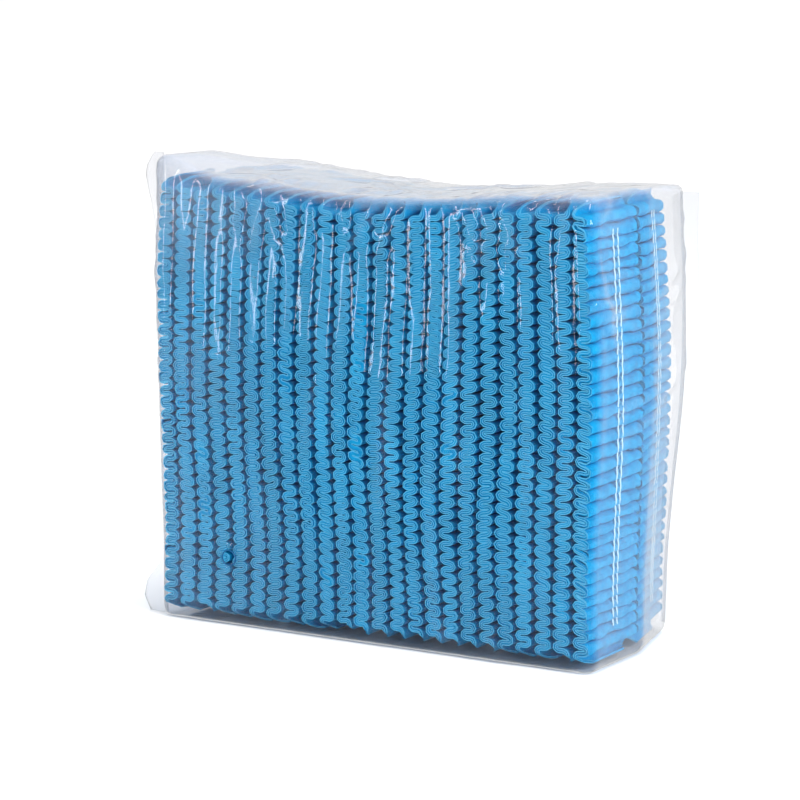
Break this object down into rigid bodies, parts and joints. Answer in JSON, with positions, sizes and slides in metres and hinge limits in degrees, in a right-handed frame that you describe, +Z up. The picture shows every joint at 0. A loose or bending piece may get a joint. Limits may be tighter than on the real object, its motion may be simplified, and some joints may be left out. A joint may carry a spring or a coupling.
{
  "type": "bag of disposable pleated hairnets",
  "caption": "Clear film bag with welded ends, holding two rows of disposable pleated non-woven hairnets folded into strips and standing on end.",
  "frame": {"origin": "on the surface the pack stands on, under the middle of its box", "axes": "+X along the rows of caps towards the end with the slack film, +Y from the front row to the back row, +Z up"},
  "size_m": [0.237, 0.099, 0.2104],
  "materials": {
    "nonwoven": "pale blue spunbond polypropylene, matt, pleated, with lighter cut edges",
    "film": "clear polyethylene film, glossy and slightly milky, creased, welded at both ends"
  },
  "bodies": {
    "root": {"cap_front_01": "nonwoven", "cap_front_02": "nonwoven", "cap_front_03": "nonwoven", "cap_front_04": "nonwoven", "cap_front_05": "nonwoven", "cap_front_06": "nonwoven", "cap_front_07": "nonwoven", "cap_front_08": "nonwoven", "cap_front_09": "nonwoven", "cap_front_10": "nonwoven", "cap_front_11": "nonwoven", "cap_front_12": "nonwoven", "cap_front_13": "nonwoven", "cap_front_14": "nonwoven", "cap_front_15": "nonwoven", "cap_front_16": "nonwoven", "cap_front_17": "nonwoven", "cap_front_18": "nonwoven", "cap_front_19": "nonwoven", "cap_front_20": "nonwoven", "cap_front_21": "nonwoven", "cap_front_22": "nonwoven", "cap_front_23": "nonwoven", "cap_front_24": "nonwoven", "cap_back_01": "nonwoven", "cap_back_02": "nonwoven", "cap_back_03": "nonwoven", "cap_back_04": "nonwoven", "cap_back_05": "nonwoven", "cap_back_06": "nonwoven", "cap_back_07": "nonwoven", "cap_back_08": "nonwoven", "cap_back_09": "nonwoven", "cap_back_10": "nonwoven", "cap_back_11": "nonwoven", "cap_back_12": "nonwoven", "cap_back_13": "nonwoven", "cap_back_14": "nonwoven", "cap_back_15": "nonwoven", "cap_back_16": "nonwoven", "cap_back_17": "nonwoven", "cap_back_18": "nonwoven", "cap_back_19": "nonwoven", "cap_back_20": "nonwoven", "cap_back_21": "nonwoven", "cap_back_22": "nonwoven", "cap_back_23": "nonwoven", "cap_back_24": "nonwoven", "bag": "film"}
  },
  "joints": []
}
